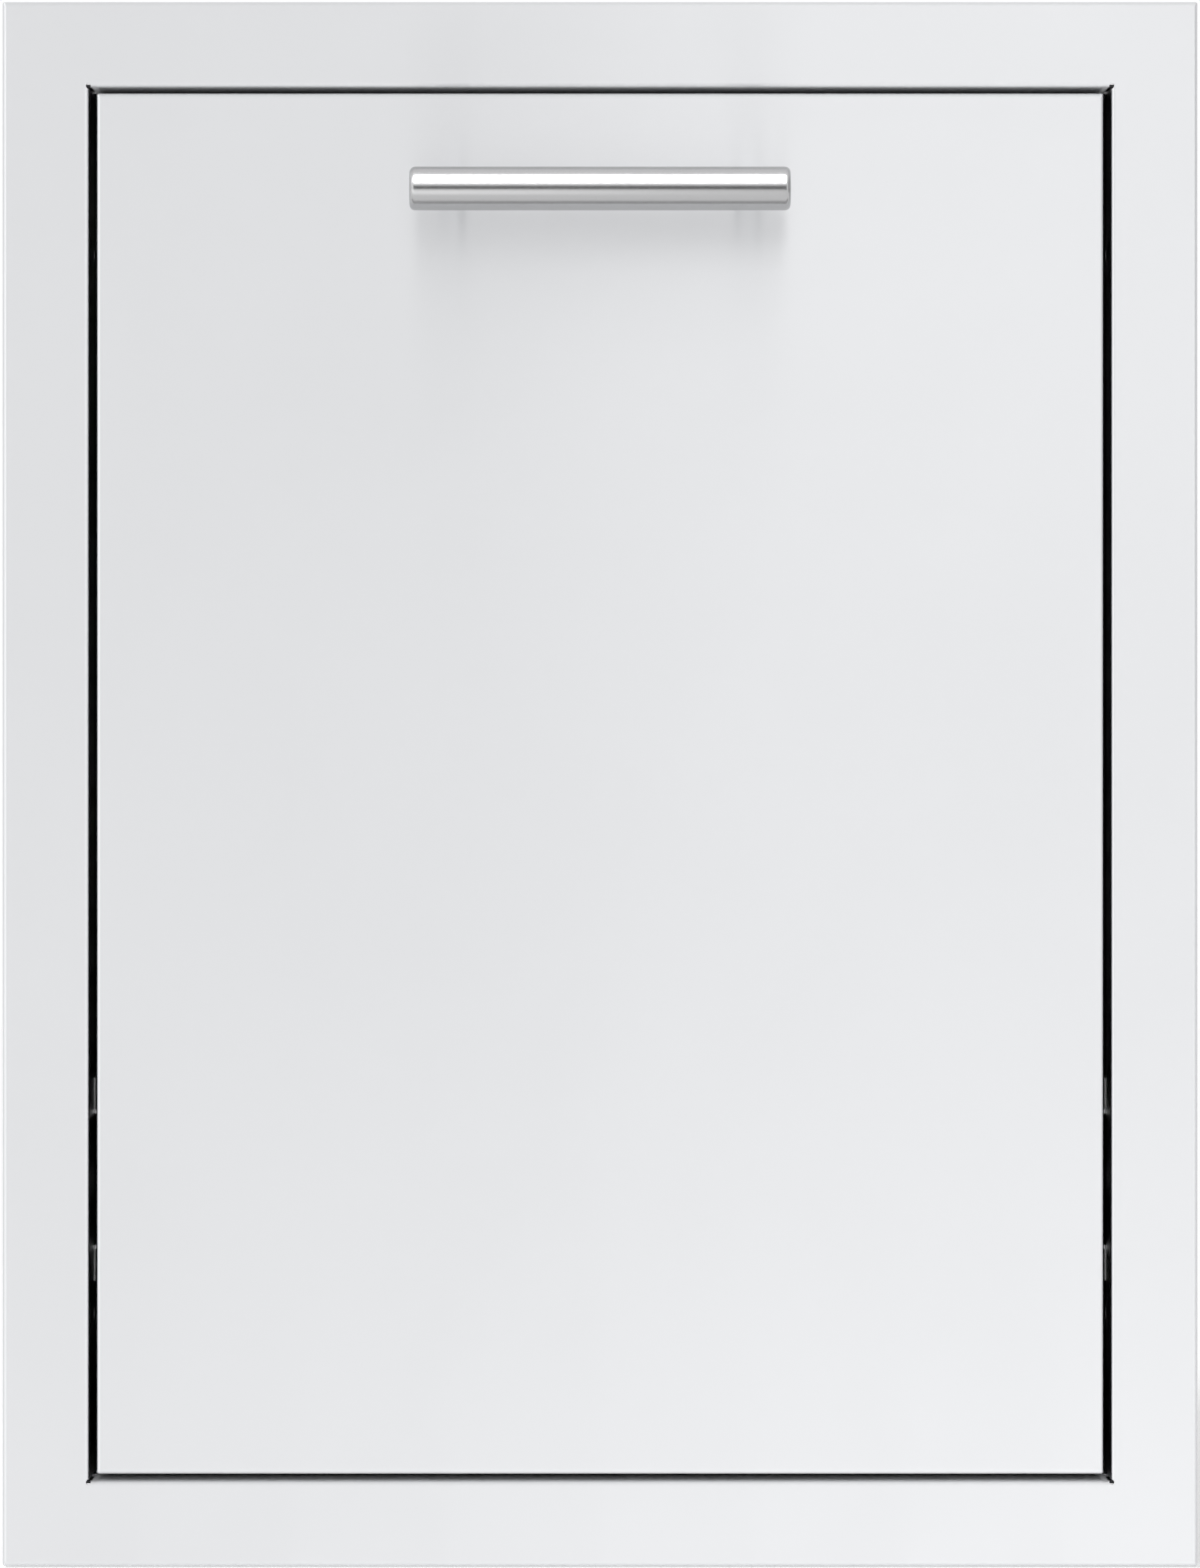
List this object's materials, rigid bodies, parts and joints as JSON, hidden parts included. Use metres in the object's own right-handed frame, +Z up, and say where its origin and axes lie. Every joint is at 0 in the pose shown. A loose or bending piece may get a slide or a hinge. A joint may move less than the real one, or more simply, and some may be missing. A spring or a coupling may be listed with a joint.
{
  "type": "double trash drawer",
  "caption": "Flush-mount stainless trash drawer for an outdoor kitchen: face frame, bar handle, sleeve cabinet, full-extension ball-bearing slides and lift-out bins.",
  "frame": {"origin": "centre of the island's cut-out, on the island's front face, where the frame's rear lip bears", "axes": "+X to the right seen from the front, +Y into the island, +Z up; the drawer opens along -Y"},
  "size_m": [0.5144, 0.6436, 0.673],
  "materials": {
    "frame_stainless": "fine horizontal brush",
    "front_stainless": "fine horizontal brush",
    "handle_stainless": "brushed along the bar",
    "cabinet_stainless": "dull mill finish",
    "drawer_stainless": "dull mill finish",
    "slide_zinc": "zinc plated",
    "cage_steel": "zinc plated",
    "ball_chrome": "polished",
    "rivet_aluminium": "plain",
    "screw_steel": "stainless",
    "bumper_rubber": "matt black",
    "lever_plastic": "moulded black",
    "plug_plastic": "moulded grey",
    "bin_plastic": "moulded dark grey, fine texture"
  },
  "bodies": {
    "cabinet": {"face_frame": "frame_stainless", "top_panel": "cabinet_stainless", "bottom_panel": "cabinet_stainless", "back_panel": "cabinet_stainless", "left_side_panel": "cabinet_stainless", "right_side_panel": "cabinet_stainless", "left_slide_bracket": "cabinet_stainless", "right_slide_bracket": "cabinet_stainless", "left_slide_outer": "slide_zinc", "right_slide_outer": "slide_zinc", "left_slide_bumper": "bumper_rubber", "right_slide_bumper": "bumper_rubber", "cabinet_rivets": "rivet_aluminium", "cabinet_slide_screws": "screw_steel"},
    "drawer": {"drawer_front_pan": "front_stainless", "drawer_front_liner": "drawer_stainless", "handle_backing_plate": "drawer_stainless", "handle_bar": "handle_stainless", "handle_left_cap": "handle_stainless", "handle_right_cap": "handle_stainless", "handle_left_post": "handle_stainless", "handle_right_post": "handle_stainless", "handle_screws": "screw_steel", "handle_access_plugs": "plug_plastic", "drawer_left_side": "drawer_stainless", "drawer_right_side": "drawer_stainless", "drawer_floor": "drawer_stainless", "drawer_back": "drawer_stainless", "bin_divider": "drawer_stainless", "left_front_gusset": "drawer_stainless", "right_front_gusset": "drawer_stainless", "left_slide_inner": "slide_zinc", "right_slide_inner": "slide_zinc", "drawer_slide_screws": "screw_steel", "drawer_front_screws": "screw_steel", "drawer_rivets": "rivet_aluminium"},
    "left_middle": {"left_slide_middle": "slide_zinc"},
    "left_outer_cage": {"left_outer_ball_cage": "cage_steel", "left_outer_balls": "ball_chrome"},
    "left_inner_cage": {"left_inner_ball_cage": "cage_steel", "left_inner_balls": "ball_chrome"},
    "left_lever": {"left_release_lever": "lever_plastic"},
    "right_middle": {"right_slide_middle": "slide_zinc"},
    "right_outer_cage": {"right_outer_ball_cage": "cage_steel", "right_outer_balls": "ball_chrome"},
    "right_inner_cage": {"right_inner_ball_cage": "cage_steel", "right_inner_balls": "ball_chrome"},
    "right_lever": {"right_release_lever": "lever_plastic"},
    "front_bin": {"front_bin": "bin_plastic"},
    "rear_bin": {"rear_bin": "bin_plastic"}
  },
  "joints": [
    {"name": "drawer_slide", "type": "slide", "parent": "cabinet", "child": "drawer", "axis": [0, -1, 0], "range_m": [0, 0.5588]},
    {"name": "left_middle_slide", "type": "slide", "parent": "cabinet", "child": "left_middle", "axis": [0, -1, 0], "range_m": [0, 0.2794]},
    {"name": "left_outer_cage_slide", "type": "slide", "parent": "cabinet", "child": "left_outer_cage", "axis": [0, -1, 0], "range_m": [0, 0.1397]},
    {"name": "left_inner_cage_slide", "type": "slide", "parent": "cabinet", "child": "left_inner_cage", "axis": [0, -1, 0], "range_m": [0, 0.4191]},
    {"name": "right_middle_slide", "type": "slide", "parent": "cabinet", "child": "right_middle", "axis": [0, -1, 0], "range_m": [0, 0.2794]},
    {"name": "right_outer_cage_slide", "type": "slide", "parent": "cabinet", "child": "right_outer_cage", "axis": [0, -1, 0], "range_m": [0, 0.1397]},
    {"name": "right_inner_cage_slide", "type": "slide", "parent": "cabinet", "child": "right_inner_cage", "axis": [0, -1, 0], "range_m": [0, 0.4191]},
    {"name": "left_lever_hinge", "type": "hinge", "parent": "drawer", "child": "left_lever", "pos_m": [-0.203, 0.24295, -0.17185], "axis": [1, 0, 0], "range_deg": [0, 8], "stiffness_Nm_per_rad": 0.05},
    {"name": "right_lever_hinge", "type": "hinge", "parent": "drawer", "child": "right_lever", "pos_m": [0.203, 0.24295, -0.17185], "axis": [1, 0, 0], "range_deg": [0, 8], "stiffness_Nm_per_rad": 0.05},
    {"name": "front_bin_lift", "type": "slide", "parent": "drawer", "child": "front_bin", "axis": [0, 0, 1], "range_m": [0, 0.13]},
    {"name": "rear_bin_lift", "type": "slide", "parent": "drawer", "child": "rear_bin", "axis": [0, 0, 1], "range_m": [0, 0.13]}
  ],
  "couplings": [
    {"joint": "left_middle_slide", "follows": "drawer_slide", "ratio": 0.5},
    {"joint": "left_outer_cage_slide", "follows": "drawer_slide", "ratio": 0.25},
    {"joint": "left_inner_cage_slide", "follows": "drawer_slide", "ratio": 0.75},
    {"joint": "right_middle_slide", "follows": "drawer_slide", "ratio": 0.5},
    {"joint": "right_outer_cage_slide", "follows": "drawer_slide", "ratio": 0.25},
    {"joint": "right_inner_cage_slide", "follows": "drawer_slide", "ratio": 0.75}
  ]
}
